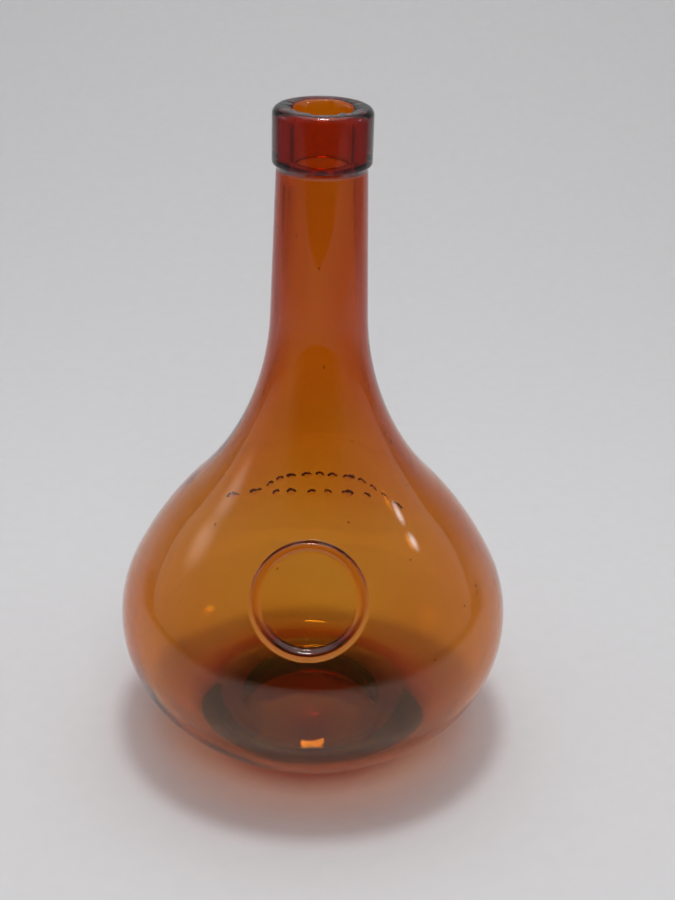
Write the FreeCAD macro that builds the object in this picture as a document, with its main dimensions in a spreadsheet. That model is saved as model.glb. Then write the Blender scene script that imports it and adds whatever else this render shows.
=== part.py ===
"""Glass bottle: a blown onion-shaped body with a long neck, and a lip laid on around the neck's end.

Frame: +Z up along the bottle's axis, origin at the centre of the resting plane, millimetres.
The moulded ring bead faces -Y, and the moulded pips are on the +Y side.
"""

import FreeCAD, Part
import math
import os

import Sketcher

# Name, value and meaning of each driving size: millimetres, and degrees where it says so.
SIZES = [
    ("total_height", 216.0, "resting plane to the top of the lip"),
    ("body_radius", 65.0, "greatest radius, at the equator"),
    ("equator_height", 44.5, "height of the greatest radius"),
    ("belly_arc", 41.0, "radius of the section's arc through the equator"),
    ("belly_upper_angle", 26.0, "how far the belly arc runs above the equator, degrees"),
    ("belly_lower_angle", 39.0, "how far the belly arc runs below the equator, degrees"),
    ("lower_arc", 59.0, "radius of the arc from the belly to the heel"),
    ("heel_arc", 12.0, "radius of the heel"),
    ("ring_width", 4.0, "width of the flat resting ring"),
    ("pushup_height", 8.0, "height of the hollow under the base"),
    ("shoulder_arc", 115.0, "radius of the convex shoulder"),
    ("flare_arc", 91.0, "radius of the concave curve from shoulder to neck"),
    ("neck_radius", 13.7, "outer radius of the neck just under the lip"),
    ("neck_taper", 1.8, "how far the neck's side leans from upright, degrees"),
    ("wall", 2.2, "glass thickness of the body"),
    ("neck_wall", 3.7, "glass thickness of the neck just under the bore"),
    ("base_thickness", 9.0, "glass thickness over the push-up"),
    ("floor_arc", 80.0, "radius of the domed floor inside"),
    ("floor_fillet", 10.0, "radius between the floor and the inner wall"),
    ("lip_height", 17.0, "height of the laid-on lip"),
    ("lip_overhang", 1.3, "how far the lip stands out beyond the neck under it"),
    ("lip_land", 4.0, "glass of the lip above the neck's end"),
    ("lip_top_fillet", 2.2, "rounding of the lip's upper outer edge"),
    ("lip_under_fillet", 1.2, "rounding of the lip's lower outer edge"),
    ("mouth_fillet", 1.0, "rounding of the mouth's edge"),
    ("bore_radius", 8.6, "radius of the tooled bore that takes the cork"),
    ("bore_depth", 16.0, "depth of the tooled bore below the top of the lip"),
    ("bore_step", 1.0, "height of the cone from the tooled bore out to the neck's inside"),
    ("relief_height", 1.6, "how far the moulded bead and pips stand out of the body"),
    ("bead_rise", 34.5, "height of the bead's centre above the equator"),
    ("bead_lean", 36.0, "how far the bead's axis leans up from level, degrees"),
    ("bead_radius", 18.2, "outer radius of the bead"),
    ("bead_width", 3.4, "width of the bead"),
    ("pip_radius", 1.9, "radius of a pip"),
    ("bow_rise", 23.0, "height of the bowed row's middle above the equator"),
    ("bow_drop", 9.0, "how much lower the bowed row's ends are"),
    ("bow_spread", 30.0, "half the bowed row's spread around the body, degrees"),
    ("row_rise", 13.0, "height of the straight row above the equator"),
    ("row_spread", 16.0, "half the straight row's spread around the body, degrees"),
]
BOW_PIPS = 13
ROW_PIPS = 6
# Where a pip's column starts, as a share of the body's radius.
PIP_START = 0.5

START, END, CENTRE = 1, 2, 3
ORIGIN_POINT = (-1, 1)
HEIGHT_AXIS = -2
BASE_LINE = -1
MATCH = 1e-3
# How far an arc that the rules will trim runs when it is first drawn, in radians.
ROUGH_SPAN = 0.3
# How much of the lip's overhang its lower fillet may take up.
FILLET_SHARE = 0.95

doc = FreeCAD.newDocument("glass_bottle")
sheet = doc.addObject("Spreadsheet::Sheet", "sizes")
for row, (name, value, meaning) in enumerate(SIZES, start=1):
    sheet.set(f"A{row}", name)
    sheet.set(f"B{row}", str(value))
    sheet.set(f"C{row}", meaning)
    sheet.setAlias(f"B{row}", name)
doc.recompute()


def size(name):
    return float(sheet.get(name))


def angle(name):
    return math.radians(size(name))


def polar(centre, radius, turn):
    return (centre[0] + radius * math.cos(turn), centre[1] + radius * math.sin(turn))


def crossing(centre_a, radius_a, centre_b, radius_b):
    """Where two circles of the section cross, on the side away from the axis."""
    step = (centre_b[0] - centre_a[0], centre_b[1] - centre_a[1])
    apart = math.hypot(*step)
    along = (apart**2 + radius_a**2 - radius_b**2) / (2 * apart)
    aside = math.sqrt(radius_a**2 - along**2)
    unit = (step[0] / apart, step[1] / apart)
    foot = (centre_a[0] + along * unit[0], centre_a[1] + along * unit[1])
    sides = [(foot[0] + sign * aside * unit[1], foot[1] - sign * aside * unit[0]) for sign in (1, -1)]
    return max(sides)


class Section:
    """A body's half section in its XZ plane: x is the distance from the axis, y the height."""

    def __init__(self, label):
        self.body = doc.addObject("PartDesign::Body", label)
        self.body.Label = label
        self.sketch = self.body.newObject("Sketcher::SketchObject", label + "_section")
        plane = next(f for f in self.body.Origin.OriginFeatures if f.Role == "XZ_Plane")
        self.sketch.AttachmentSupport = (plane, [""])
        self.sketch.MapMode = "FlatFace"

    def line(self, start, end, guide=False):
        ends = [FreeCAD.Vector(x, y, 0) for x, y in (start, end)]
        return self.sketch.addGeometry(Part.LineSegment(*ends), guide)

    def arc(self, centre, radius, first, last):
        """An arc that turns anticlockwise from the first angle to the last."""
        circle = Part.Circle(FreeCAD.Vector(*centre, 0), FreeCAD.Vector(0, 0, 1), radius)
        return self.sketch.addGeometry(Part.ArcOfCircle(circle, first, last), False)

    def rule(self, *constraint):
        return self.sketch.addConstraint(Sketcher.Constraint(*constraint))

    def follow(self, name, formula, *constraint):
        """A named dimension that follows a formula, in which {size} is a size of the sheet."""
        index = self.rule(*constraint)
        self.sketch.renameConstraint(index, name)
        for size_name, _, _ in SIZES:
            formula = formula.replace("{" + size_name + "}", "sizes." + size_name)
        self.sketch.setExpression("Constraints." + name, formula)

    def place(self, name, out, up, item, item_end):
        """Puts a point at formulas for its distance from the axis and its height."""
        point = self.sketch.getPoint(item, item_end)
        self.follow(name + "_out", out, "DistanceX", *ORIGIN_POINT, item, item_end, point.x)
        self.follow(name + "_up", up, "DistanceY", *ORIGIN_POINT, item, item_end, point.y)

    def revolve(self):
        doc.recompute()
        if not self.sketch.FullyConstrained:
            raise RuntimeError(self.sketch.Name + " isn't fully constrained")
        turned = self.body.newObject("PartDesign::Revolution", self.body.Label + "_turned")
        turned.Profile = self.sketch
        turned.ReferenceAxis = (self.sketch, ["V_Axis"])
        turned.Angle = 360
        doc.recompute()
        return turned


def upper_centres():
    """Centres of the belly arc and the shoulder arc."""
    belly = (size("body_radius") - size("belly_arc"), size("equator_height"))
    shoulder = polar(belly, size("belly_arc") - size("shoulder_arc"), angle("belly_upper_angle"))
    return belly, shoulder


def flare_between(shoulder_radius, flare_radius, neck_head):
    """Centre of the arc from the shoulder to the neck, and the angle where the shoulder turns into it."""
    shoulder = upper_centres()[1]
    beside = polar(neck_head, flare_radius, angle("neck_taper"))
    down = (math.sin(angle("neck_taper")), -math.cos(angle("neck_taper")))
    gap = (beside[0] - shoulder[0], beside[1] - shoulder[1])
    along = gap[0] * down[0] + gap[1] * down[1]
    reach = shoulder_radius + flare_radius
    run = -along - math.sqrt(along**2 - gap[0] ** 2 - gap[1] ** 2 + reach**2)
    flare = (beside[0] + run * down[0], beside[1] + run * down[1])
    return flare, math.atan2(flare[1] - shoulder[1], flare[0] - shoulder[0])


def add_side(section, offset, offset_formula, foot_angle, neck_head, head_formulas):
    """Belly, shoulder and flare arcs, moved outward by an offset, and the line up the neck to its head."""
    belly_centre, shoulder_centre = upper_centres()
    taper = angle("neck_taper")
    upper = angle("belly_upper_angle")
    belly_radius = size("belly_arc") + offset
    shoulder_radius = size("shoulder_arc") + offset
    flare_radius = size("flare_arc") - offset
    flare_centre, turn = flare_between(shoulder_radius, flare_radius, neck_head)
    belly = section.arc(belly_centre, belly_radius, foot_angle, upper)
    shoulder = section.arc(shoulder_centre, shoulder_radius, upper, turn)
    flare = section.arc(flare_centre, flare_radius, taper + math.pi, turn + math.pi)
    neck = section.line(polar(flare_centre, -flare_radius, taper), neck_head)
    section.rule("Tangent", belly, END, shoulder, START)
    section.rule("Tangent", shoulder, END, flare, END)
    section.rule("Tangent", flare, START, neck, START)
    section.follow("belly", "{belly_arc} + " + offset_formula, "Radius", belly, belly_radius)
    section.follow("shoulder", "{shoulder_arc} + " + offset_formula, "Radius", shoulder, shoulder_radius)
    section.follow("flare", "{flare_arc} - (" + offset_formula + ")", "Radius", flare, flare_radius)
    section.place("belly", "{body_radius} - {belly_arc}", "{equator_height}", belly, CENTRE)
    section.follow(
        "shoulder_drop",
        "({shoulder_arc} - {belly_arc}) * sin({belly_upper_angle})",
        "DistanceY", shoulder, CENTRE, belly, CENTRE, belly_centre[1] - shoulder_centre[1],
    )
    section.follow("lean", "90 + {neck_taper}", "Angle", neck, math.pi / 2 + taper)
    section.place("neck_top", *head_formulas, neck, END)
    return belly, neck


def add_underside(section, belly, offset, offset_formula):
    """The lower arc that carries the belly on down. Gives the arc, its centre and its radius."""
    lower = angle("belly_lower_angle")
    belly_centre = upper_centres()[0]
    centre = polar(belly_centre, size("belly_arc") - size("lower_arc"), -lower)
    radius = size("lower_arc") + offset
    under = section.arc(centre, radius, -lower - ROUGH_SPAN, -lower)
    section.rule("Tangent", under, END, belly, START)
    section.follow("under", "{lower_arc} + " + offset_formula, "Radius", under, radius)
    section.follow(
        "under_rise",
        "({lower_arc} - {belly_arc}) * sin({belly_lower_angle})",
        "DistanceY", belly, CENTRE, under, CENTRE, centre[1] - belly_centre[1],
    )
    return under, centre, radius


def make_outer_form():
    """The solid shape of the blown glass, without its cavity and its relief."""
    section = Section("outer_form")
    neck_foot_height = size("total_height") - size("lip_height")
    belly, neck = add_side(
        section, 0.0, "0", -angle("belly_lower_angle"),
        (size("neck_radius"), neck_foot_height), ("{neck_radius}", "{total_height} - {lip_height}"),
    )
    under, under_centre, under_radius = add_underside(section, belly, 0.0, "0")

    heel_radius = size("heel_arc")
    heel_fall = under_centre[1] - heel_radius
    heel_out = under_centre[0] + math.sqrt((under_radius - heel_radius) ** 2 - heel_fall**2)
    heel_turn = math.atan2(-heel_fall, heel_out - under_centre[0])
    heel = section.arc((heel_out, heel_radius), heel_radius, -math.pi / 2, heel_turn)
    ring = section.line((heel_out - size("ring_width"), 0), (heel_out, 0))
    section.rule("Tangent", heel, END, under, START)
    section.rule("Tangent", heel, START, ring, END)
    section.rule("PointOnObject", ring, START, BASE_LINE)
    section.rule("PointOnObject", ring, END, BASE_LINE)
    section.follow("heel", "{heel_arc}", "Radius", heel, heel_radius)
    section.follow("ring", "{ring_width}", "DistanceX", ring, START, ring, END, size("ring_width"))

    rise = size("pushup_height")
    ring_inside = heel_out - size("ring_width")
    dome = (ring_inside**2 + rise**2) / (2 * rise)
    pushup = section.arc((0, rise - dome), dome, math.asin((dome - rise) / dome), math.pi / 2)
    section.rule("Coincident", pushup, START, ring, START)
    section.rule("PointOnObject", pushup, CENTRE, HEIGHT_AXIS)

    neck_end = size("total_height") - size("lip_land")
    finish_rise = size("lip_height") - size("lip_land")
    finish_out = size("neck_radius") - finish_rise * math.tan(angle("neck_taper"))
    finish_start = (size("neck_radius"), neck_end - finish_rise)
    finish = section.line(finish_start, (finish_out, neck_end))
    end = section.line((finish_out, neck_end), (0, neck_end))
    core = section.line((0, neck_end), (0, rise))
    section.rule("Coincident", finish, START, neck, END)
    section.rule("Parallel", finish, neck)
    section.rule("Coincident", finish, END, end, START)
    section.rule("Horizontal", end)
    section.rule("Coincident", end, END, core, START)
    section.rule("Coincident", core, END, pushup, END)
    section.place("core_top", "0", "{total_height} - {lip_land}", core, START)
    section.place("core_foot", "0", "{pushup_height}", core, END)
    section.revolve()
    return section.body


def make_cavity_form():
    """The hollow inside the blown glass. A short cone joins the neck's inside to the tooled bore."""
    wall = size("wall")
    top = size("total_height")
    bore = size("bore_radius")
    bore_foot = (bore, top - size("bore_depth"))
    neck_head = (size("neck_radius") - size("neck_wall"), bore_foot[1] - size("bore_step"))
    section = Section("cavity_form")
    belly, neck = add_side(
        section, -wall, "(-{wall})", -angle("belly_lower_angle"), neck_head,
        ("{neck_radius} - {neck_wall}", "{total_height} - {bore_depth} - {bore_step}"),
    )
    under, under_centre, under_radius = add_underside(section, belly, -wall, "(-{wall})")

    floor_top = size("pushup_height") + size("base_thickness")
    floor_centre = (0, floor_top - size("floor_arc"))
    fillet_radius = size("floor_fillet")
    fillet_centre = crossing(
        under_centre, under_radius - fillet_radius, floor_centre, size("floor_arc") + fillet_radius
    )
    to_floor = math.atan2(floor_centre[1] - fillet_centre[1], floor_centre[0] - fillet_centre[0])
    to_under = math.atan2(fillet_centre[1] - under_centre[1], fillet_centre[0] - under_centre[0])
    fillet = section.arc(fillet_centre, fillet_radius, to_floor, to_under)
    floor = section.arc(floor_centre, size("floor_arc"), to_floor + math.pi, math.pi / 2)
    section.rule("Tangent", fillet, END, under, START)
    section.rule("Tangent", floor, START, fillet, START)
    section.rule("PointOnObject", floor, CENTRE, HEIGHT_AXIS)
    section.follow("floor_fillet", "{floor_fillet}", "Radius", fillet, fillet_radius)
    section.follow("floor", "{floor_arc}", "Radius", floor, size("floor_arc"))

    cone = section.line(neck_head, bore_foot)
    tooled = section.line(bore_foot, (bore, top))
    lid = section.line((bore, top), (0, top))
    core = section.line((0, top), (0, floor_top))
    section.rule("Coincident", neck, END, cone, START)
    section.rule("Coincident", cone, END, tooled, START)
    section.rule("Vertical", tooled)
    section.rule("Coincident", tooled, END, lid, START)
    section.rule("Horizontal", lid)
    section.rule("Coincident", lid, END, core, START)
    section.rule("Coincident", core, END, floor, END)
    section.place("bore_foot", "{bore_radius}", "{total_height} - {bore_depth}", tooled, START)
    section.place("core_top", "0", "{total_height}", core, START)
    section.place("core_foot", "0", "{pushup_height} + {base_thickness}", core, END)
    section.revolve()
    return section.body


def make_relief_form():
    """The outer shape from the equator up, moved out by the relief's height."""
    relief = size("relief_height")
    section = Section("relief_form")
    head_radius = size("neck_radius") + relief / math.cos(angle("neck_taper"))
    belly, neck = add_side(
        section, relief, "{relief_height}", 0.0,
        (head_radius, size("total_height") - size("lip_height")),
        ("{neck_radius} + {relief_height} / cos({neck_taper})", "{total_height} - {lip_height}"),
    )
    foot = section.sketch.getPoint(belly, START)
    head = section.sketch.getPoint(neck, END)
    end = section.line((head.x, head.y), (0, head.y))
    core = section.line((0, head.y), (0, foot.y))
    base = section.line((0, foot.y), (foot.x, foot.y))
    section.rule("Coincident", end, START, neck, END)
    section.rule("Horizontal", end)
    section.rule("Coincident", end, END, core, START)
    section.rule("Coincident", core, END, base, START)
    section.rule("Coincident", base, END, belly, START)
    section.rule("PointOnObject", core, START, HEIGHT_AXIS)
    section.rule("PointOnObject", core, END, HEIGHT_AXIS)
    section.rule("Horizontal", base)
    section.rule("Horizontal", belly, CENTRE, belly, START)
    section.revolve()
    return section.body


def bound(kind, name, **formulas):
    """A document object whose properties follow formulas over the sheet."""
    item = doc.addObject(kind, name)
    for prop, formula in formulas.items():
        item.setExpression(prop, formula)
    return item


def make_bead_column():
    """A ring-shaped column out of the front, leaning up so that it leaves the shoulder squarely."""
    lean = angle("bead_lean")
    shoulder = upper_centres()[1]
    height = size("equator_height") + size("bead_rise")
    out = shoulder[0] + math.sqrt(size("shoulder_arc") ** 2 - (height - shoulder[1]) ** 2)
    outward = FreeCAD.Vector(0, -math.cos(lean), math.sin(lean))
    columns = []
    for name, radius in (("bead_outside", "sizes.bead_radius"),
                         ("bead_inside", "sizes.bead_radius - sizes.bead_width")):
        column = bound("Part::Cylinder", name, Radius=radius, Height="2 * sizes.bead_radius")
        column.Placement.Rotation = FreeCAD.Rotation(FreeCAD.Vector(0, 0, 1), outward)
        column.Placement.Base = FreeCAD.Vector(0, -out, height) - outward * size("bead_radius")
        columns.append(column)
    ring = doc.addObject("Part::Cut", "bead_column")
    ring.Base, ring.Tool = columns
    return ring


def make_pip_columns():
    """Round columns out of the back: a bowed row, and a short straight row under it."""
    places = []
    for number in range(BOW_PIPS):
        share = 2 * number / (BOW_PIPS - 1) - 1
        places.append((size("bow_rise") - size("bow_drop") * share**2, share * angle("bow_spread")))
    for number in range(ROW_PIPS):
        share = 2 * number / (ROW_PIPS - 1) - 1
        places.append((size("row_rise"), share * angle("row_spread")))
    columns = []
    for number, (rise, around) in enumerate(places, start=1):
        outward = FreeCAD.Vector(math.sin(around), math.cos(around), 0)
        column = bound(
            "Part::Cylinder", f"pip_{number:02d}", Radius="sizes.pip_radius",
            Height=f"{1 - PIP_START} * sizes.body_radius + sizes.relief_height",
        )
        column.Placement.Rotation = FreeCAD.Rotation(FreeCAD.Vector(0, 0, 1), outward)
        column.Placement.Base = outward * (PIP_START * size("body_radius"))
        column.Placement.Base.z = size("equator_height") + rise
        columns.append(column)
    return columns


def make_blown_body():
    """The blown glass: outer form with its moulded relief, hollowed and bored."""
    columns = doc.addObject("Part::Compound", "relief_columns")
    columns.Links = [make_bead_column(), *make_pip_columns()]
    relief = doc.addObject("Part::Common", "relief")
    relief.Base, relief.Tool = make_relief_form(), columns
    moulded = doc.addObject("Part::Fuse", "moulded_form")
    moulded.Base, moulded.Tool = make_outer_form(), relief
    blown = doc.addObject("Part::Cut", "blown_body")
    blown.Base, blown.Tool = moulded, make_cavity_form()
    blown.Label = "blown_body"
    return blown


def round_edge(section, name, radius, height, formula):
    """Rounds the circular edge of a given radius and height."""
    base = section.body.Tip
    found = [
        f"Edge{number}"
        for number, edge in enumerate(base.Shape.Edges, start=1)
        if isinstance(edge.Curve, Part.Circle)
        and abs(edge.Curve.Radius - radius) < MATCH
        and abs(edge.Curve.Center.z - height) < MATCH
    ]
    if len(found) != 1:
        raise RuntimeError(f"{name}: {len(found)} edges instead of one")
    rounded = section.body.newObject("PartDesign::Fillet", name)
    rounded.Base = (base, found)
    rounded.setExpression("Radius", formula)
    section.body.Tip = rounded
    doc.recompute()


def make_applied_lip():
    """The laid-on lip: a collar around the neck's end, with the mouth of the bore through its top."""
    section = Section("applied_lip")
    foot = size("total_height") - size("lip_height")
    neck_end = size("total_height") - size("lip_land")
    top = size("total_height")
    bore, neck_out = size("bore_radius"), size("neck_radius")
    outside = neck_out + size("lip_overhang")
    end_out = neck_out - (neck_end - foot) * math.tan(angle("neck_taper"))
    corners = [
        (neck_out, foot), (outside, foot), (outside, top), (bore, top), (bore, neck_end), (end_out, neck_end)
    ]
    outline = [section.line(start, end) for start, end in zip(corners, corners[1:] + corners[:1])]
    under, side, rim, mouth, seat, seam = outline
    for line, following in zip(outline, outline[1:] + outline[:1]):
        section.rule("Coincident", line, END, following, START)
    for line in (under, rim, seat):
        section.rule("Horizontal", line)
    for line in (side, mouth):
        section.rule("Vertical", line)
    section.place("foot", "{neck_radius}", "{total_height} - {lip_height}", under, START)
    section.place("rim", "{neck_radius} + {lip_overhang}", "{total_height}", rim, START)
    section.place("neck_end", "{bore_radius}", "{total_height} - {lip_land}", seat, START)
    section.follow("lean", "{neck_taper} - 90", "Angle", seam, angle("neck_taper") - math.pi / 2)
    section.revolve()
    round_edge(section, "rounded_rim", outside, top, "sizes.lip_top_fillet")
    round_edge(section, "rounded_mouth", bore, top, "sizes.mouth_fillet")
    round_edge(
        section, "rounded_foot", outside, foot,
        f"min(sizes.lip_under_fillet; {FILLET_SHARE} * sizes.lip_overhang)",
    )
    return section.body


nodes = [make_blown_body(), make_applied_lip()]
doc.recompute()

for item in doc.Objects:
    if {"Invalid", "Error"} & set(item.State):
        raise RuntimeError(item.Name + " failed to recompute")
for node in nodes:
    if node.Shape.isNull() or not node.Shape.isValid():
        raise RuntimeError(node.Label + " has no valid shape")

os.makedirs("parts", exist_ok=True)
for node in nodes:
    node.Shape.exportStep(f"parts/{node.Label}.step")
    print(node.Label, round(node.Shape.Volume), "mm3,", len(node.Shape.Solids), "solid")
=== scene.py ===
"""Looks for the glass bottle: one fused amber glass shell, a pale sweep and soft lights.

Metres, in the frame's own axes: +Z up the bottle, origin at the centre of the resting plane,
the bead towards -Y.
"""

import math
import random

import bpy
import numpy as np
from mathutils import Matrix, Vector


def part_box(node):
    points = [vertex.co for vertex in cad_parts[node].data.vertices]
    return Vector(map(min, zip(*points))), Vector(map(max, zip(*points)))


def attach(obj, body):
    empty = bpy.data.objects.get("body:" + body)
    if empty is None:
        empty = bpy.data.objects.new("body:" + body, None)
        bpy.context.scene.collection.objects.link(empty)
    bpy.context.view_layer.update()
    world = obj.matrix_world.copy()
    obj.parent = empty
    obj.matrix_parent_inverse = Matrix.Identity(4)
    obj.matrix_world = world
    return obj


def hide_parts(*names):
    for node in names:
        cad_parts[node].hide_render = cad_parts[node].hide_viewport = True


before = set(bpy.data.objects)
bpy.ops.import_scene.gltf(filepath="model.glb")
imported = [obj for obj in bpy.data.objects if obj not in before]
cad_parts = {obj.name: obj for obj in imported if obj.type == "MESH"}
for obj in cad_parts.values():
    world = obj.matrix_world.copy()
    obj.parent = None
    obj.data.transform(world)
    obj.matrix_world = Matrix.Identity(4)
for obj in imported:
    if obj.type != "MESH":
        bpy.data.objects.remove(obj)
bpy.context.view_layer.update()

MM = 0.001
_, blown_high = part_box("blown_body")
lip_low, lip_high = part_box("applied_lip")

# Sizes that the frame gives.
TOTAL_HEIGHT = lip_high.z
LIP_HEIGHT = lip_high.z - lip_low.z
LIP_RADIUS = lip_high.x
BODY_RADIUS = blown_high.x

# The section's driving sizes: the solid model's, apart from a slightly smaller rounding under the lip.
EQUATOR_HEIGHT = 44.5 * MM
BELLY_ARC = 41.0 * MM
BELLY_UPPER_ANGLE = math.radians(26.0)
BELLY_LOWER_ANGLE = math.radians(39.0)
LOWER_ARC = 59.0 * MM
HEEL_ARC = 12.0 * MM
RING_WIDTH = 4.0 * MM
PUSHUP_HEIGHT = 8.0 * MM
SHOULDER_ARC = 115.0 * MM
FLARE_ARC = 91.0 * MM
NECK_RADIUS = 13.7 * MM
NECK_TAPER = math.radians(1.8)
WALL = 2.2 * MM
NECK_WALL = 3.7 * MM
BASE_THICKNESS = 9.0 * MM
FLOOR_ARC = 80.0 * MM
FLOOR_FILLET = 10.0 * MM
LIP_TOP_FILLET = 2.2 * MM
LIP_UNDER_FILLET = 1.1 * MM
MOUTH_FILLET = 1.0 * MM
BORE_RADIUS = 8.6 * MM
BORE_DEPTH = 16.0 * MM
BORE_STEP = 1.0 * MM

# The moulded relief, which stands a little lower than the solid model's.
RELIEF_HEIGHT = 1.5 * MM
BEAD_HEIGHT = EQUATOR_HEIGHT + 34.5 * MM
BEAD_LEAN = math.radians(36.0)
BEAD_RADIUS = 18.2 * MM
BEAD_WIDTH = 3.4 * MM
PIP_RADIUS = 1.9 * MM
# How high the fire-polished pips stand, as a share of the bead, and how full the bead's rounding is.
PIP_SHARE = 0.6
BEAD_FULLNESS = 0.8
BOW_HEIGHT = EQUATOR_HEIGHT + 23.0 * MM
BOW_DROP = 9.0 * MM
BOW_SPREAD = math.radians(30.0)
BOW_PIPS = 13
ROW_HEIGHT = EQUATOR_HEIGHT + 13.0 * MM
ROW_SPREAD = math.radians(16.0)
ROW_PIPS = 6

# Mesh density.
PITCH = 1.8 * MM
FILLET_PITCH = 0.35 * MM
RELIEF_PITCH = 0.45 * MM
RELIEF_LOW = EQUATOR_HEIGHT + 10.0 * MM
RELIEF_HIGH = BEAD_HEIGHT + 16.0 * MM
FINE_STEP = math.radians(0.5)
FINE_PER_COARSE = 4
FRONT_REACH = math.radians(24.0)
BACK_REACH = math.radians(34.0)
SIDE_STEP = math.radians(2.7)
# How far from the resting ring's inner corner its rounding starts, and in how many steps it turns.
RING_EASE = 1.2 * MM
CORNER_STEPS = 6


def polar(centre, radius, turn):
    return (centre[0] + radius * math.cos(turn), centre[1] + radius * math.sin(turn))


def crossing(centre_a, radius_a, centre_b, radius_b):
    """Where two circles of the section cross, on the side away from the axis."""
    step = (centre_b[0] - centre_a[0], centre_b[1] - centre_a[1])
    apart = math.hypot(*step)
    along = (apart**2 + radius_a**2 - radius_b**2) / (2 * apart)
    aside = math.sqrt(radius_a**2 - along**2)
    unit = (step[0] / apart, step[1] / apart)
    foot = (centre_a[0] + along * unit[0], centre_a[1] + along * unit[1])
    return max((foot[0] + sign * aside * unit[1], foot[1] - sign * aside * unit[0]) for sign in (1, -1))


def arc(centre, radius, start, end, pitch=PITCH):
    """Points of an arc in the section, both ends among them."""
    count = max(2, math.ceil(abs(end - start) * radius / pitch) + 1)
    return [polar(centre, radius, start + (end - start) * i / (count - 1)) for i in range(count)]


def line(start, end, pitch=PITCH):
    count = max(2, math.ceil(math.dist(start, end) / pitch) + 1)
    return [
        (start[0] + (end[0] - start[0]) * i / (count - 1), start[1] + (end[1] - start[1]) * i / (count - 1))
        for i in range(count)
    ]


BELLY = (BODY_RADIUS - BELLY_ARC, EQUATOR_HEIGHT)
SHOULDER = polar(BELLY, BELLY_ARC - SHOULDER_ARC, BELLY_UPPER_ANGLE)
UNDER = polar(BELLY, BELLY_ARC - LOWER_ARC, -BELLY_LOWER_ANGLE)


def flare_between(shoulder_radius, flare_radius, neck_head):
    """Centre of the arc from the shoulder to the neck, and the angle where the shoulder turns into it."""
    beside = polar(neck_head, flare_radius, NECK_TAPER)
    down = (math.sin(NECK_TAPER), -math.cos(NECK_TAPER))
    gap = (beside[0] - SHOULDER[0], beside[1] - SHOULDER[1])
    along = gap[0] * down[0] + gap[1] * down[1]
    reach = shoulder_radius + flare_radius
    run = -along - math.sqrt(along**2 - gap[0] ** 2 - gap[1] ** 2 + reach**2)
    flare = (beside[0] + run * down[0], beside[1] + run * down[1])
    return flare, math.atan2(flare[1] - SHOULDER[1], flare[0] - SHOULDER[0])


LIP_FOOT = TOTAL_HEIGHT - LIP_HEIGHT
FLARE, TURN = flare_between(SHOULDER_ARC, FLARE_ARC, (NECK_RADIUS, LIP_FOOT))


def eased(points, corner, reach):
    """The points with the corner rounded: a curve from one point at that reach to the other."""
    before = [p for p in points[: points.index(corner)] if math.dist(p, corner) > reach]
    after = [p for p in points[points.index(corner) + 1 :] if math.dist(p, corner) > reach]
    start, end = before[-1], after[0]
    curve = []
    for i in range(1, CORNER_STEPS):
        t = i / CORNER_STEPS
        shares = ((1 - t) ** 2, 2 * t * (1 - t), t**2)
        curve.append(tuple(sum(np.multiply(shares, values)) for values in zip(start, corner, end)))
    return before + curve + after


def outer_section():
    """The outside, from the push-up's middle to the lip's top, cut where the relief starts and ends."""
    heel_fall = UNDER[1] - HEEL_ARC
    heel_out = UNDER[0] + math.sqrt((LOWER_ARC - HEEL_ARC) ** 2 - heel_fall**2)
    heel_turn = math.atan2(-heel_fall, heel_out - UNDER[0])
    ring_inside = (heel_out - RING_WIDTH, 0.0)
    dome = (ring_inside[0] ** 2 + PUSHUP_HEIGHT**2) / (2 * PUSHUP_HEIGHT)
    dome_centre = (0.0, PUSHUP_HEIGHT - dome)
    foot = arc(dome_centre, dome, math.pi / 2, math.asin((dome - PUSHUP_HEIGHT) / dome), 0.8 * PITCH)
    foot = foot[:-1] + line(ring_inside, (heel_out, 0.0), 0.5 * PITCH)
    foot = eased(foot, ring_inside, RING_EASE)
    foot += arc((heel_out, HEEL_ARC), HEEL_ARC, -math.pi / 2, heel_turn, 0.6 * PITCH)[1:]
    foot += arc(UNDER, LOWER_ARC, heel_turn, -BELLY_LOWER_ANGLE)[1:]
    relief_start = math.asin((RELIEF_LOW - BELLY[1]) / BELLY_ARC)
    foot += arc(BELLY, BELLY_ARC, -BELLY_LOWER_ANGLE, relief_start)[1:]
    relief_end = math.asin((RELIEF_HIGH - FLARE[1]) / -FLARE_ARC) + math.pi
    relief = arc(BELLY, BELLY_ARC, relief_start, BELLY_UPPER_ANGLE, RELIEF_PITCH)
    relief += arc(SHOULDER, SHOULDER_ARC, BELLY_UPPER_ANGLE, TURN, RELIEF_PITCH)[1:]
    relief += arc(FLARE, FLARE_ARC, TURN + math.pi, relief_end, RELIEF_PITCH)[1:]
    above = arc(FLARE, FLARE_ARC, relief_end, math.pi + NECK_TAPER)
    above += line(above[-1], (NECK_RADIUS, LIP_FOOT))[1:]
    under = LIP_UNDER_FILLET
    lip = line((NECK_RADIUS, LIP_FOOT), (LIP_RADIUS - under, LIP_FOOT), FILLET_PITCH)[1:]
    lip += arc((LIP_RADIUS - under, LIP_FOOT + under), under, -math.pi / 2, 0, FILLET_PITCH)[1:]
    side_top = TOTAL_HEIGHT - LIP_TOP_FILLET
    lip += line(lip[-1], (LIP_RADIUS, side_top), 0.6 * PITCH)[1:]
    lip += arc((LIP_RADIUS - LIP_TOP_FILLET, side_top), LIP_TOP_FILLET, 0, math.pi / 2, FILLET_PITCH)[1:]
    lip += line(lip[-1], (BORE_RADIUS + MOUTH_FILLET, TOTAL_HEIGHT), 0.5 * PITCH)[1:]
    return foot, relief, above + lip


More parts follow.
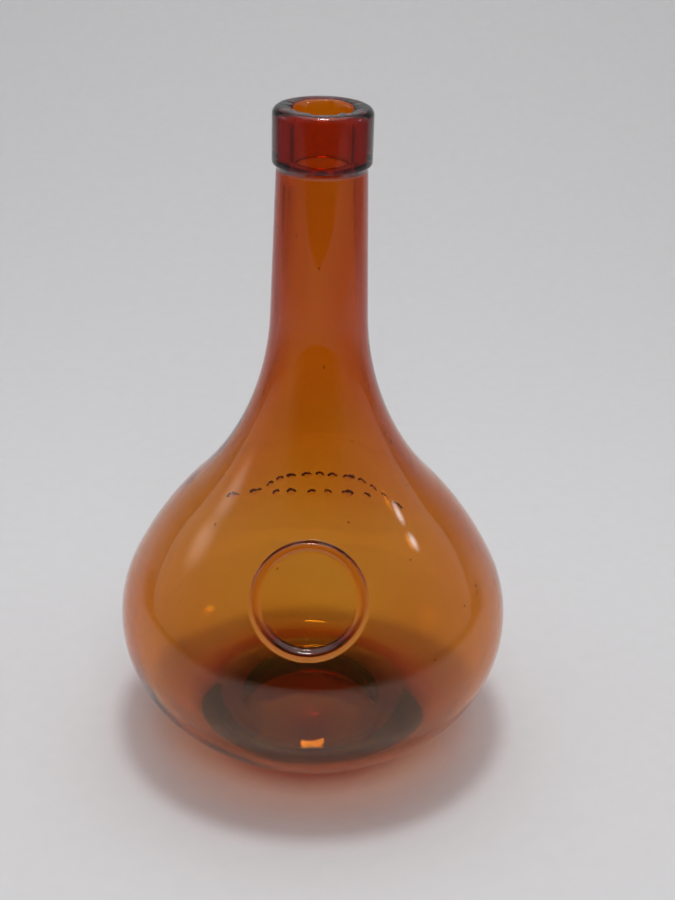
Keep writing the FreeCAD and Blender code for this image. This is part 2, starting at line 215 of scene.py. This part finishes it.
def inner_section():
    """The inside, from the mouth down to the middle of the domed floor."""
    mouth_centre = (BORE_RADIUS + MOUTH_FILLET, TOTAL_HEIGHT - MOUTH_FILLET)
    mouth = arc(mouth_centre, MOUTH_FILLET, math.pi / 2, math.pi, 0.8 * FILLET_PITCH)[1:]
    bore_foot = (BORE_RADIUS, TOTAL_HEIGHT - BORE_DEPTH)
    neck_head = (NECK_RADIUS - NECK_WALL, bore_foot[1] - BORE_STEP)
    flare_radius = FLARE_ARC + WALL
    flare, turn = flare_between(SHOULDER_ARC - WALL, flare_radius, neck_head)
    throat = line(mouth[-1], bore_foot, 0.8 * PITCH)[1:] + line(bore_foot, neck_head, FILLET_PITCH)[1:]
    throat += line(neck_head, polar(flare, flare_radius, math.pi + NECK_TAPER))[1:]
    side = arc(flare, flare_radius, math.pi + NECK_TAPER, turn + math.pi)[1:]
    side += arc(SHOULDER, SHOULDER_ARC - WALL, turn, BELLY_UPPER_ANGLE)[1:]
    side += arc(BELLY, BELLY_ARC - WALL, BELLY_UPPER_ANGLE, -BELLY_LOWER_ANGLE)[1:]
    under_radius = LOWER_ARC - WALL
    floor_centre = (0.0, PUSHUP_HEIGHT + BASE_THICKNESS - FLOOR_ARC)
    fillet = crossing(UNDER, under_radius - FLOOR_FILLET, floor_centre, FLOOR_ARC + FLOOR_FILLET)
    to_floor = math.atan2(floor_centre[1] - fillet[1], floor_centre[0] - fillet[0])
    to_under = math.atan2(fillet[1] - UNDER[1], fillet[0] - UNDER[0])
    side += arc(UNDER, under_radius, -BELLY_LOWER_ANGLE, to_under)[1:]
    bottom = arc(fillet, FLOOR_FILLET, to_under, to_floor, 0.6 * PITCH)[1:]
    bottom += arc(floor_centre, FLOOR_ARC, to_floor + math.pi, math.pi / 2)[1:]
    return mouth + throat + side + bottom


def column_angles():
    """Angles of the fine columns, 0 at the front, and which of them are coarse columns too."""
    coarse_step = FINE_STEP * FINE_PER_COARSE
    fine, coarse = [], []

    def run(start, end, step, parts):
        count = round((end - start) / step)
        for i in range(count):
            coarse.append(len(fine))
            for part in range(parts):
                fine.append(start + (end - start) * (i + part / parts) / count)

    run(-FRONT_REACH, FRONT_REACH, coarse_step, FINE_PER_COARSE)
    run(FRONT_REACH, math.pi - BACK_REACH, SIDE_STEP, 1)
    run(math.pi - BACK_REACH, math.pi + BACK_REACH, coarse_step, FINE_PER_COARSE)
    run(math.pi + BACK_REACH, 2 * math.pi - FRONT_REACH, SIDE_STEP, 1)
    return np.array(fine), np.array(coarse)


def section_normals(points):
    """Outward unit normals along a section that runs up the outside and down the inside."""
    p = np.array(points)
    along = np.gradient(p, axis=0)
    along /= np.linalg.norm(along, axis=1)[:, None]
    return np.c_[along[:, 1], -along[:, 0]]


def relief_at(x, y, z):
    """How far the moulded bead and pips stand out at points of the outside."""
    out = SHOULDER[0] + math.sqrt(SHOULDER_ARC**2 - (BEAD_HEIGHT - SHOULDER[1]) ** 2)
    up_slope = (y + out) * math.sin(BEAD_LEAN) + (z - BEAD_HEIGHT) * math.cos(BEAD_LEAN)
    ring = np.abs(np.hypot(x, up_slope) - BEAD_RADIUS + BEAD_WIDTH / 2) / (BEAD_WIDTH / 2)
    height = np.where((y < 0) & (ring < 1), np.clip(1 - ring**2, 0, 1) ** BEAD_FULLNESS, 0.0)
    for number in range(BOW_PIPS + ROW_PIPS):
        if number < BOW_PIPS:
            share = 2 * number / (BOW_PIPS - 1) - 1
            up, around = BOW_HEIGHT - BOW_DROP * share**2, share * BOW_SPREAD
        else:
            share = 2 * (number - BOW_PIPS) / (ROW_PIPS - 1) - 1
            up, around = ROW_HEIGHT, share * ROW_SPREAD
        aside = x * math.cos(around) - y * math.sin(around)
        off = np.hypot(aside, z - up) / PIP_RADIUS
        height = np.where((y > 0) & (off < 1), PIP_SHARE * np.clip(1 - off**2, 0, 1), height)
    return RELIEF_HEIGHT * height


def ripple(angles, height, waves):
    """A gentle waviness: each wave is (depth, turns round the bottle, waves per metre up it, phase)."""
    total = np.zeros(len(angles))
    for depth, turns, rise, phase in waves:
        total += depth * np.cos(turns * angles + 2 * math.pi * rise * height + phase)
    return total


def eases_in(value, start, end):
    """0 up to start, 1 from end, and smooth between them."""
    share = min(1.0, max(0.0, (value - start) / (end - start)))
    return share * share * (3 - 2 * share)


# Where the waviness fades out: around the base's middle, at the resting ring, at the widest line,
# under the lip and below the bore.
TRUE_MIDDLE = 0.3 * BODY_RADIUS
TRUE_FOOT = (2 * MM, 12 * MM)
TRUE_EQUATOR = 12 * MM
TRUE_UNDER_LIP = (1 * MM, 5 * MM)
TRUE_BORE = 6 * MM


def wave_share(r, z, outside):
    """How much of the waviness a ring shows. The base's middle, the widest line and the lip stay true."""
    share = eases_in(r, 0.0, TRUE_MIDDLE) if z < EQUATOR_HEIGHT / 2 else 1.0
    if outside:
        share *= eases_in(z, *TRUE_FOOT)
        share *= eases_in(abs(z - EQUATOR_HEIGHT), 0.0, TRUE_EQUATOR)
        return share * eases_in(LIP_FOOT - z, *TRUE_UNDER_LIP)
    return share * eases_in(LIP_FOOT - z, 0.0, TRUE_BORE)


OUTSIDE_WAVES = [
    (0.03 * MM, 2, 3.0, 0.4),
    (0.02 * MM, 5, -7.0, 1.9),
    (0.015 * MM, 9, 4.0, 4.1),
]
INSIDE_WAVES = [
    (0.16 * MM, 1, 4.0, 2.2),
    (0.10 * MM, 3, -9.0, 0.7),
    (0.07 * MM, 6, 12.0, 3.3),
    (0.04 * MM, 11, 5.0, 5.0),
]
# The uneven edge of the mouth: its waves as shares of the wear, how deep it is and how far it reaches.
MOUTH_WAVES = [
    (0.45, 5, 0.0, 0.3),
    (0.35, 11, 0.0, 2.1),
    (0.30, 19, 0.0, 4.4),
    (0.20, 33, 0.0, 1.2),
]
MOUTH_WEAR = 0.60 * MM
MOUTH_WEAR_REACH = 1.3 * MM
# Seeds: how many, their usual radius and its spread, the most of the wall's half that one takes,
# how much taller than wide they are in the body and from the neck's foot up, and their heights' range.
SEEDS = 46
SEED_RADIUS = 0.34 * MM
SEED_SPREAD = (0.5, 1.2)
SEED_SHARE = 0.5
SEED_TALL, SEED_TALL_IN_NECK = 1.2, 2.2
SEED_RINGS, SEED_SIDES = 8, 12
SEED_LOW, SEED_HIGH = 22.0 * MM, 195.0 * MM
SEED_ORDER = 11
NECK_FOOT = 110.0 * MM


def build_shell():
    """The bottle's whole glass as one closed grid: rings of vertices up the outside and down the inside."""
    foot, relief, above = outer_section()
    inside = inner_section()
    points = foot + relief[1:] + above[1:] + inside
    normals = section_normals(points)
    p = np.array(points)
    outer_count = len(foot) + len(relief) - 1 + len(above) - 1
    relief_first, relief_last = len(foot), len(foot) + len(relief) - 3
    fine, coarse = column_angles()

    verts, rings = [], []
    total = 0
    for i in range(1, len(p) - 1):
        dense = relief_first <= i <= relief_last
        columns = np.arange(len(fine)) if dense else coarse
        angles = fine[columns]
        r, z = p[i]
        outside = i < outer_count
        waves = OUTSIDE_WAVES if outside else INSIDE_WAVES
        out = wave_share(r, z, outside) * ripple(angles, z, waves)
        near_mouth = math.exp(-math.dist((r, z), (BORE_RADIUS, TOTAL_HEIGHT)) / MOUTH_WEAR_REACH)
        out = out - near_mouth * MOUTH_WEAR * (1 + ripple(angles, z, MOUTH_WAVES))
        if dense:
            out = out + relief_at(r * np.sin(angles), -r * np.cos(angles), np.full(len(angles), z))
        rr = r + normals[i, 0] * out
        zz = z + normals[i, 1] * out
        verts.append(np.c_[rr * np.sin(angles), -rr * np.cos(angles), zz])
        rings.append((total + np.arange(len(columns)), columns))
        total += len(columns)
    verts = np.vstack(verts)
    base_middle, floor_middle = total, total + 1
    verts = np.vstack([verts, [[0, 0, p[0, 1]]], [[0, 0, p[-1, 1]]]])

    faces = []
    first, last = rings[0][0], rings[-1][0]
    for a, b in zip(first, np.roll(first, -1)):
        faces.append((base_middle, b, a))
    for (low, low_columns), (high, high_columns) in zip(rings, rings[1:]):
        faces += bridge(low, low_columns, high, high_columns, len(fine))
    for a, b in zip(last, np.roll(last, -1)):
        faces.append((a, b, floor_middle))
    seed_verts, seed_faces = seed_bubbles(wall_middles(p, outer_count), random.Random(SEED_ORDER))
    faces += [tuple(v + len(verts) for v in face) for face in seed_faces]
    verts = np.vstack([verts, seed_verts])
    return verts, [tuple(int(v) for v in face) for face in faces]


def wall_middles(section, outer_count):
    """Points midway through the wall from the heel to the lip, each with half the wall's thickness."""
    inside = section[outer_count:]
    middles = []
    for point in section[:outer_count]:
        if SEED_LOW < point[1] < SEED_HIGH:
            across = inside[np.argmin(np.hypot(*(inside - point).T))]
            middles.append((tuple((point + across) / 2), math.dist(point, across) / 2))
    return middles


def seed_bubbles(middles, chance):
    """Tiny voids shut in the glass: closed balls whose faces look inward, drawn out in the neck."""
    verts, faces = [], []
    for _ in range(SEEDS):
        (r, z), half_wall = middles[chance.randrange(len(middles))]
        around = chance.uniform(0, 2 * math.pi)
        radius = min(SEED_RADIUS * chance.uniform(*SEED_SPREAD), SEED_SHARE * half_wall)
        tall = radius * (SEED_TALL_IN_NECK if z > NECK_FOOT else SEED_TALL)
        first = len(verts)
        centre = np.array([r * math.sin(around), -r * math.cos(around), z])
        for up in range(1, SEED_RINGS):
            lean = math.pi * up / SEED_RINGS
            for side in range(SEED_SIDES):
                turn = 2 * math.pi * side / SEED_SIDES
                flat = radius * math.sin(lean)
                verts.append(centre + (flat * math.cos(turn), flat * math.sin(turn), tall * math.cos(lean)))
        top, foot = len(verts), len(verts) + 1
        verts += [centre + (0, 0, tall), centre - (0, 0, tall)]
        last = first + (SEED_RINGS - 2) * SEED_SIDES
        for side in range(SEED_SIDES):
            beside = (side + 1) % SEED_SIDES
            faces.append((top, first + beside, first + side))
            faces.append((foot, last + side, last + beside))
            for row in range(first, last, SEED_SIDES):
                faces.append((row + side, row + beside, row + SEED_SIDES + beside, row + SEED_SIDES + side))
    return np.array(verts), faces


def bridge(low, low_columns, high, high_columns, around):
    """Faces between two rings, which may have different columns."""
    if len(low) == len(high):
        return list(zip(low, np.roll(low, -1), np.roll(high, -1), high))
    few, many = (low, high) if len(low) < len(high) else (high, low)
    few_columns = low_columns if len(low) < len(high) else high_columns
    faces = []
    for k in range(len(few)):
        start = few_columns[k]
        end = few_columns[(k + 1) % len(few)] if k + 1 < len(few) else around
        edge = [many[c % around] for c in range(start, end + 1)]
        a, b = few[k], few[(k + 1) % len(few)]
        if few is low:
            faces.append((a, b, *reversed(edge)))
        else:
            faces.append((*edge, b, a))
    return faces


def mesh_object(name, verts, faces):
    mesh = bpy.data.meshes.new(name)
    mesh.from_pydata([tuple(v) for v in verts], [], faces)
    mesh.update()
    mesh.polygons.foreach_set("use_smooth", [True] * len(mesh.polygons))
    piece = bpy.data.objects.new(name, mesh)
    bpy.context.scene.collection.objects.link(piece)
    return piece


class Shading:
    """A node tree, with short ways to add the nodes that the materials and the room need."""

    def __init__(self, tree):
        self.tree = tree

    def add(self, kind, **sockets):
        """A node with these sockets set, or linked where the value is another node's output."""
        made = self.tree.nodes.new(kind)
        for name, value in sockets.items():
            self.feed(made.inputs[name.replace("_", " ")], value)
        return made

    def feed(self, socket, value):
        if isinstance(value, bpy.types.NodeSocket):
            self.tree.links.new(value, socket)
        else:
            socket.default_value = value

    def place(self):
        """The object's own coordinates."""
        return self.add("ShaderNodeTexCoord").outputs["Object"]

    def along(self, where, axis):
        return self.add("ShaderNodeSeparateXYZ", Vector=where).outputs[axis]

    def noise(self, where, scale, detail):
        return self.add("ShaderNodeTexNoise", Vector=where, Scale=scale, Detail=detail).outputs["Fac"]

    def ranged(self, value, spread, result, course="SMOOTHSTEP"):
        """The value's run over a spread, turned into a run from the first result to the second."""
        made = self.add(
            "ShaderNodeMapRange", Value=value,
            From_Min=spread[0], From_Max=spread[1], To_Min=result[0], To_Max=result[1],
        )
        made.interpolation_type = course
        return made.outputs["Result"]

    def maths(self, operation, *values):
        made = self.add("ShaderNodeMath")
        made.operation = operation
        for socket, value in zip(made.inputs, values):
            self.feed(socket, value)
        return made.outputs[0]

    def stretched(self, where, turn, scale):
        """Coordinates turned and then scaled, for marks that run one way."""
        made = self.add("ShaderNodeMapping", Vector=where, Rotation=turn, Scale=scale)
        made.vector_type = "TEXTURE"
        return made.outputs["Vector"]

    def bump(self, height, depth, strength, before=None):
        made = self.add("ShaderNodeBump", Strength=strength, Distance=depth, Height=height)
        if before is not None:
            self.feed(made.inputs["Normal"], before)
        return made.outputs["Normal"]


def new_material(name):
    made = bpy.data.materials.new(name)
    made.use_nodes = True
    made.node_tree.nodes.clear()
    return made, Shading(made.node_tree)


GLASS_IOR = 1.52
# A metre of glass absorbs, in each colour, the density times what the tint lacks of 1.
GLASS_TINT = (0.925, 0.695, 0.0, 1.0)
TINT_DENSITY = 1000.0
# What one surface lets through to lamps' light.
SURFACE_CLARITY = (0.67, 0.67, 0.67, 1.0)

# Scales are in features per metre. A bump is a scale, a detail, a depth and a strength.
STREAK_SCALE, STREAK_DETAIL, STREAK_STRETCH = 420.0, 3.0, 26.0
STREAK_DEPTH, STREAK_STRENGTH = 0.05 * MM, 0.55
STREAKS_FROM, STREAKS_FULL = 85.0 * MM, 125.0 * MM
DIMPLES = (95.0, 2.0, 0.10 * MM, 0.30)
SKIN = (1100.0, 2.0, 0.004 * MM, 0.35)

# Scratches: each set's turn, its stretch, and the scale of the noise that breaks its lines up.
SCRATCH_SETS = [
    ((0.5, 0.2, 0.0), 18.0, 75.0),
    ((1.1, -0.4, 0.3), 14.0, 93.0),
    ((-0.3, 1.2, 0.8), 22.0, 51.0),
]
SCRATCH_SCALE = 520.0
SCRATCH_WIDTH = 0.006
SCRATCH_GATE = (0.60, 0.70)
SCRATCH_DEPTH, SCRATCH_STRENGTH = 0.01 * MM, -0.4
SCRATCH_ROUGHNESS = 0.22

HAZE_SCALE, HAZE_DETAIL, HAZE_GATE, HAZE_ROUGHNESS = 38.0, 5.0, (0.45, 0.75), 0.045
RING_WEAR_REACH, RING_ROUGHNESS = (0.1 * MM, 1.2 * MM), 0.14
RING_WEAR_SCALE, RING_WEAR_DETAIL, RING_WEAR_GATE = 700.0, 3.0, (0.35, 0.60)
RING_WEAR_LEAST = 0.25
LIP_WEAR_REACH, LIP_ROUGHNESS = (TOTAL_HEIGHT - 2.0 * MM, TOTAL_HEIGHT), 0.05


def scratch_marks(shading, where):
    """Thin broken lines in several directions: 1 on a scratch and 0 beside it."""
    marks = None
    for turn, stretch, gate_scale in SCRATCH_SETS:
        lines = shading.noise(shading.stretched(where, turn, (1.0, 1.0, stretch)), SCRATCH_SCALE, 0.0)
        off_line = shading.maths("ABSOLUTE", shading.maths("SUBTRACT", lines, 0.5))
        thin = shading.ranged(off_line, (0.0, SCRATCH_WIDTH), (1.0, 0.0))
        gate = shading.ranged(shading.noise(where, gate_scale, 1.0), SCRATCH_GATE, (0.0, 1.0))
        gated = shading.maths("MULTIPLY", thin, gate)
        marks = gated if marks is None else shading.maths("MAXIMUM", marks, gated)
    return marks


def glass_relief(shading, where, height, scratches):
    """Fine relief of the glass: tooling streaks on the neck, dimples, the skin's grain and scratches."""
    upright = shading.stretched(where, (0.0, 0.0, 0.0), (1.0, 1.0, STREAK_STRETCH))
    streaks = shading.noise(upright, STREAK_SCALE, STREAK_DETAIL)
    on_neck = shading.ranged(height, (STREAKS_FROM, STREAKS_FULL), (0.0, 1.0))
    bump = shading.bump(shading.maths("MULTIPLY", streaks, on_neck), STREAK_DEPTH, STREAK_STRENGTH)
    for scale, detail, depth, strength in (DIMPLES, SKIN):
        bump = shading.bump(shading.noise(where, scale, detail), depth, strength, bump)
    return shading.bump(scratches, SCRATCH_DEPTH, SCRATCH_STRENGTH, bump)


def glass_roughness(shading, where, height, scratches):
    """Faint haze, the scratches, and wear on the resting ring and the lip's top."""
    haze = shading.ranged(shading.noise(where, HAZE_SCALE, HAZE_DETAIL), HAZE_GATE, (0.0, HAZE_ROUGHNESS))
    low = shading.ranged(height, RING_WEAR_REACH, (RING_ROUGHNESS, 0.0))
    worn = shading.noise(where, RING_WEAR_SCALE, RING_WEAR_DETAIL)
    worn = shading.ranged(worn, RING_WEAR_GATE, (RING_WEAR_LEAST, 1.0))
    ring_wear = shading.maths("MULTIPLY", low, worn)
    lip_wear = shading.ranged(height, LIP_WEAR_REACH, (0.0, LIP_ROUGHNESS))
    rough = shading.maths("ADD", haze, shading.maths("MULTIPLY", scratches, SCRATCH_ROUGHNESS))
    return shading.maths("ADD", rough, shading.maths("ADD", ring_wear, lip_wear))


def amber_glass():
    """Blown amber glass. Its colour comes from its depth, so thick glass is darker."""
    made, shading = new_material("amber_glass")
    where = shading.place()
    height = shading.along(where, "Z")
    scratches = scratch_marks(shading, where)
    glass = shading.add(
        "ShaderNodeBsdfPrincipled", Base_Color=(1.0, 1.0, 1.0, 1.0), Transmission_Weight=1.0, IOR=GLASS_IOR,
        Roughness=glass_roughness(shading, where, height, scratches),
        Normal=glass_relief(shading, where, height, scratches),
    )
    # Lamps' light passes straight through the surface, and the glass's depth tints it on the way.
    clear = shading.add("ShaderNodeBsdfTransparent", Color=SURFACE_CLARITY)
    from_lamp = shading.add("ShaderNodeLightPath").outputs["Is Shadow Ray"]
    surface = shading.add("ShaderNodeMixShader")
    for socket, value in zip(surface.inputs, (from_lamp, glass.outputs["BSDF"], clear.outputs["BSDF"])):
        shading.feed(socket, value)
    depth = shading.add("ShaderNodeVolumeAbsorption", Color=GLASS_TINT, Density=TINT_DENSITY)
    shading.add(
        "ShaderNodeOutputMaterial", Surface=surface.outputs["Shader"], Volume=depth.outputs["Volume"]
    )
    return made


SHEET_PALE = (0.80, 0.79, 0.80, 1.0)
# The grey of the sheet's painted shade far out at the sides and in front, not the paper's own colour.
SHEET_PAINTED_SHADE = (0.34, 0.34, 0.35, 1.0)
SHEET_ROUGHNESS = 0.85
# How far out the sheet stays pale, and where its painted shade has turned it dark. The distance along Y
# counts only in front of SHEET_AHEAD_START, and the distance along X fades out across the backdrop's foot.
SHEET_PALE_TO, SHEET_DARK_FROM = 0.44, 0.72
SHEET_AHEAD_START = 0.2
SHEET_BACKDROP_FOOT = (0.3, 0.6)
PAPER_SCALE, PAPER_DETAIL, PAPER_GATE, PAPER_SHARE = 160.0, 6.0, (0.3, 0.7), 0.03


def pale_sheet():
    """Matt pale paper with painted shade: its colour is painted darker far out at the sides and in front."""
    made, shading = new_material("pale_sheet")
    where = shading.place()
    side, along = shading.along(where, "X"), shading.along(where, "Y")
    ahead = shading.maths("MINIMUM", shading.maths("SUBTRACT", along, SHEET_AHEAD_START), 0.0)
    on_floor = shading.ranged(along, SHEET_BACKDROP_FOOT, (1.0, 0.0))
    across = shading.maths("MULTIPLY", shading.maths("MULTIPLY", side, side), on_floor)
    away = shading.maths("SQRT", shading.maths("ADD", across, shading.maths("MULTIPLY", ahead, ahead)))
    # Painted shade: the sheet's colour darkens with distance out from the set. The paper's own faint
    # mottling is added on top.
    fade = shading.ranged(away, (SHEET_PALE_TO, SHEET_DARK_FROM), (0.0, 1.0))
    paper = shading.ranged(shading.noise(where, PAPER_SCALE, PAPER_DETAIL), PAPER_GATE, (0.0, PAPER_SHARE))
    mix = shading.add("ShaderNodeMix")
    mix.data_type = "RGBA"
    mix.inputs["A"].default_value = SHEET_PALE
    mix.inputs["B"].default_value = SHEET_PAINTED_SHADE
    shading.feed(mix.inputs["Factor"], shading.maths("ADD", fade, paper))
    sheet = shading.add(
        "ShaderNodeBsdfPrincipled", Base_Color=mix.outputs["Result"], Roughness=SHEET_ROUGHNESS
    )
    shading.add("ShaderNodeOutputMaterial", Surface=sheet.outputs["BSDF"])
    return made


FLOOR_GAP = 0.1 * MM
SWEEP_FRONT = -0.62
SWEEP_START = 0.25
SWEEP_RADIUS = 0.75
SWEEP_TOP = 1.4
SWEEP_HALF_WIDTH = 1.6
FLOOR_PITCH, BEND_PITCH, BACKDROP_PITCH = 0.05, 0.03, 0.1


def build_sweep():
    """The pale floor, which curves up behind the bottle into a backdrop."""
    section = line((SWEEP_FRONT, 0.0), (SWEEP_START, 0.0), FLOOR_PITCH)
    section += arc((SWEEP_START, SWEEP_RADIUS), SWEEP_RADIUS, -math.pi / 2, 0, BEND_PITCH)[1:]
    section += line(section[-1], (section[-1][0], SWEEP_TOP), BACKDROP_PITCH)[1:]
    verts = [(x, y, z - FLOOR_GAP) for y, z in section for x in (-SWEEP_HALF_WIDTH, SWEEP_HALF_WIDTH)]
    faces = [(2 * i, 2 * i + 1, 2 * i + 3, 2 * i + 2) for i in range(len(section) - 1)]
    sweep = mesh_object("pale_sweep", verts, faces)
    sweep.data.materials.append(pale_sheet())


def aim(thing, place, target):
    thing.location = place
    thing.rotation_mode = "QUATERNION"
    thing.rotation_quaternion = (Vector(target) - Vector(place)).to_track_quat("-Z", "Y")


def soft_light(name, place, target, side, power, glow=0.0):
    """A square area light that the camera doesn't see. With a glow it fades from the middle to the edge."""
    data = bpy.data.lights.new(name, "AREA")
    data.shape = "SQUARE"
    data.size = side
    data.energy = power
    light = bpy.data.objects.new(name, data)
    bpy.context.scene.collection.objects.link(light)
    aim(light, place, target)
    light.visible_camera = False
    if glow:
        fade_light(data, glow)
    return light


def fade_light(data, glow):
    """Lets the light's strength fall from the glow in its middle to nothing at its edge."""
    data.use_nodes = True
    shading = Shading(data.node_tree)
    emission = next(n for n in data.node_tree.nodes if n.type == "EMISSION")
    where = shading.add("ShaderNodeNewGeometry").outputs["Parametric"]
    centred = shading.add("ShaderNodeVectorMath")
    centred.operation = "SUBTRACT"
    shading.feed(centred.inputs[0], where)
    centred.inputs[1].default_value = (0.5, 0.5, 0.0)
    length = shading.add("ShaderNodeVectorMath")
    length.operation = "LENGTH"
    shading.feed(length.inputs[0], centred.outputs["Vector"])
    fade = shading.ranged(length.outputs["Value"], (0.0, 0.5), (glow, 0.0))
    shading.feed(emission.inputs["Strength"], fade)


SET_MIDDLE = (0.0, 0.0, 0.08)


def build_lights():
    """A small lamp overhead, a wide ceiling, a lamp at each side, and a fill that the glass doesn't show."""
    soft_light("overhead", (0.0, 0.0, 1.1), (0.0, 0.0, 0.0), side=0.18, power=2.9)
    soft_light("ceiling", (0.0, 0.3, 1.5), (0.0, 0.1, 0.0), side=1.3, power=4.1)
    soft_light("left_lamp", (-0.75, 0.1, 0.40), SET_MIDDLE, side=0.34, power=0.18, glow=3.0)
    soft_light("right_lamp", (0.75, 0.05, 0.50), SET_MIDDLE, side=0.12, power=0.14, glow=3.0)
    fill = soft_light("front_fill", (0.1, -0.8, 0.9), (0.0, 0.0, 0.0), side=0.5, power=2.0)
    fill.visible_glossy = False
    fill.visible_transmission = False


# How bright the room is by the direction's part along +Y: (where, grey).
ROOM_SHADES = [(-0.92, 0.04), (-0.50, 0.24), (0.20, 0.42), (0.78, 0.95)]
ROOM_TINT = (0.97, 0.985, 1.0)


def build_room():
    """The room round the set: pale at the back, dimmer at the sides and dark in front."""
    world = bpy.data.worlds.new("room")
    bpy.context.scene.world = world
    world.use_nodes = True
    shading = Shading(world.node_tree)
    direction = shading.add("ShaderNodeTexCoord").outputs["Generated"]
    along = shading.ranged(shading.along(direction, "Y"), (-1.0, 1.0), (0.0, 1.0), "LINEAR")
    ramp = shading.add("ShaderNodeValToRGB", Fac=along)
    ramp.color_ramp.interpolation = "EASE"
    stops = ramp.color_ramp.elements
    stops.remove(stops[1])
    for number, (at, grey) in enumerate(ROOM_SHADES):
        share = (at + 1) / 2
        stop = stops.new(share) if number else stops[0]
        stop.position = share
        stop.color = (*(grey * part for part in ROOM_TINT), 1.0)
    shading.feed(world.node_tree.nodes["Background"].inputs["Color"], ramp.outputs["Color"])


# The camera: where it stands and how it is turned.
CAMERA_DISTANCE = 0.4216
CAMERA_HEIGHT = 0.3156
CAMERA_AZIMUTH = math.radians(1.6)
CAMERA_LENS = 58.05
SENSOR = 36.0
CAMERA_NEAREST = 0.01
CAMERA_PITCH = math.radians(26.61)
CAMERA_YAW = math.radians(0.93)
CAMERA_ROLL = math.radians(1.57)


def build_camera():
    data = bpy.data.cameras.new("camera")
    data.sensor_width = SENSOR
    data.sensor_fit = "AUTO"
    data.lens = CAMERA_LENS
    data.clip_start = CAMERA_NEAREST
    camera = bpy.data.objects.new("camera", data)
    bpy.context.scene.collection.objects.link(camera)
    ahead = Vector((
        math.sin(CAMERA_YAW) * math.cos(CAMERA_PITCH),
        math.cos(CAMERA_YAW) * math.cos(CAMERA_PITCH),
        -math.sin(CAMERA_PITCH),
    ))
    level = Vector((math.cos(CAMERA_YAW), -math.sin(CAMERA_YAW), 0.0))
    above = level.cross(ahead)
    right = level * math.cos(CAMERA_ROLL) + above * math.sin(CAMERA_ROLL)
    up = above * math.cos(CAMERA_ROLL) - level * math.sin(CAMERA_ROLL)
    turn = Matrix((right, up, -ahead)).transposed().to_4x4()
    place = Matrix.Translation(Vector((0.0, -CAMERA_DISTANCE, CAMERA_HEIGHT)))
    camera.matrix_world = Matrix.Rotation(CAMERA_AZIMUTH, 4, "Z") @ place @ turn
    bpy.context.scene.camera = camera


def set_film():
    """Plain colour and enough bounces for rays that cross the glass many times."""
    scene = bpy.context.scene
    scene.view_settings.view_transform = "Standard"
    scene.cycles.max_bounces = 24
    scene.cycles.transmission_bounces = 24
    scene.cycles.glossy_bounces = 12
    scene.cycles.diffuse_bounces = 4
    scene.cycles.transparent_max_bounces = 12
    scene.cycles.sample_clamp_indirect = 20.0


verts, faces = build_shell()
bottle = mesh_object("bottle_glass", verts, faces)
bottle.data.materials.append(amber_glass())
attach(bottle, "root")
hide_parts("blown_body", "applied_lip")

build_sweep()
build_lights()
build_room()
build_camera()
set_film()
